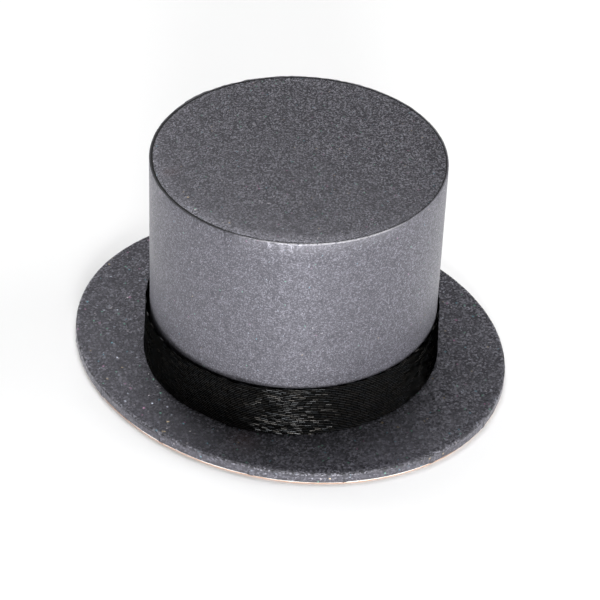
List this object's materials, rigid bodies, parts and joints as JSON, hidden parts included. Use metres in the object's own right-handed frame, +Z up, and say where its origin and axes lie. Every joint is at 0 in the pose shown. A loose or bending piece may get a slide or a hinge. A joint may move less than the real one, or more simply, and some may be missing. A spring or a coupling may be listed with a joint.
{
  "type": "top hat",
  "caption": "Miniature top hat of pearl-paper-covered board with a satin ribbon; the straight crown lifts off the flat oval brim as a box lid.",
  "frame": {"origin": "middle of the oval brim, on the surface that the hat stands on", "axes": "+Z up, the way the crown lifts; Y along the brim's long axis with the front towards -Y; X from side to side"},
  "size_m": [0.0834, 0.0948, 0.0498],
  "materials": {
    "pearl_paper": "dark grey pearlescent coated paper with fine mica sparkle",
    "greyboard": "unprinted grey board",
    "tan_card": "uncoated tan card with a raw cut edge",
    "lining_paper": "matt ivory paper",
    "black_satin": "black satin ribbon with woven selvedges"
  },
  "bodies": {
    "base": {"brim_underside_lining": "tan_card", "brim_board": "greyboard", "brim_cover_paper": "pearl_paper", "compartment_floor": "lining_paper", "neck_collar": "greyboard", "neck_paper": "lining_paper"},
    "crown": {"crown_tube": "greyboard", "crown_top_board": "greyboard", "crown_side_paper": "pearl_paper", "crown_top_paper": "pearl_paper", "crown_side_lining": "lining_paper", "crown_top_lining": "lining_paper", "hat_band": "black_satin"}
  },
  "joints": [
    {"name": "crown_lift", "type": "slide", "parent": "base", "child": "crown", "axis": [0, 0, 1], "range_m": [0, 0.03]}
  ]
}
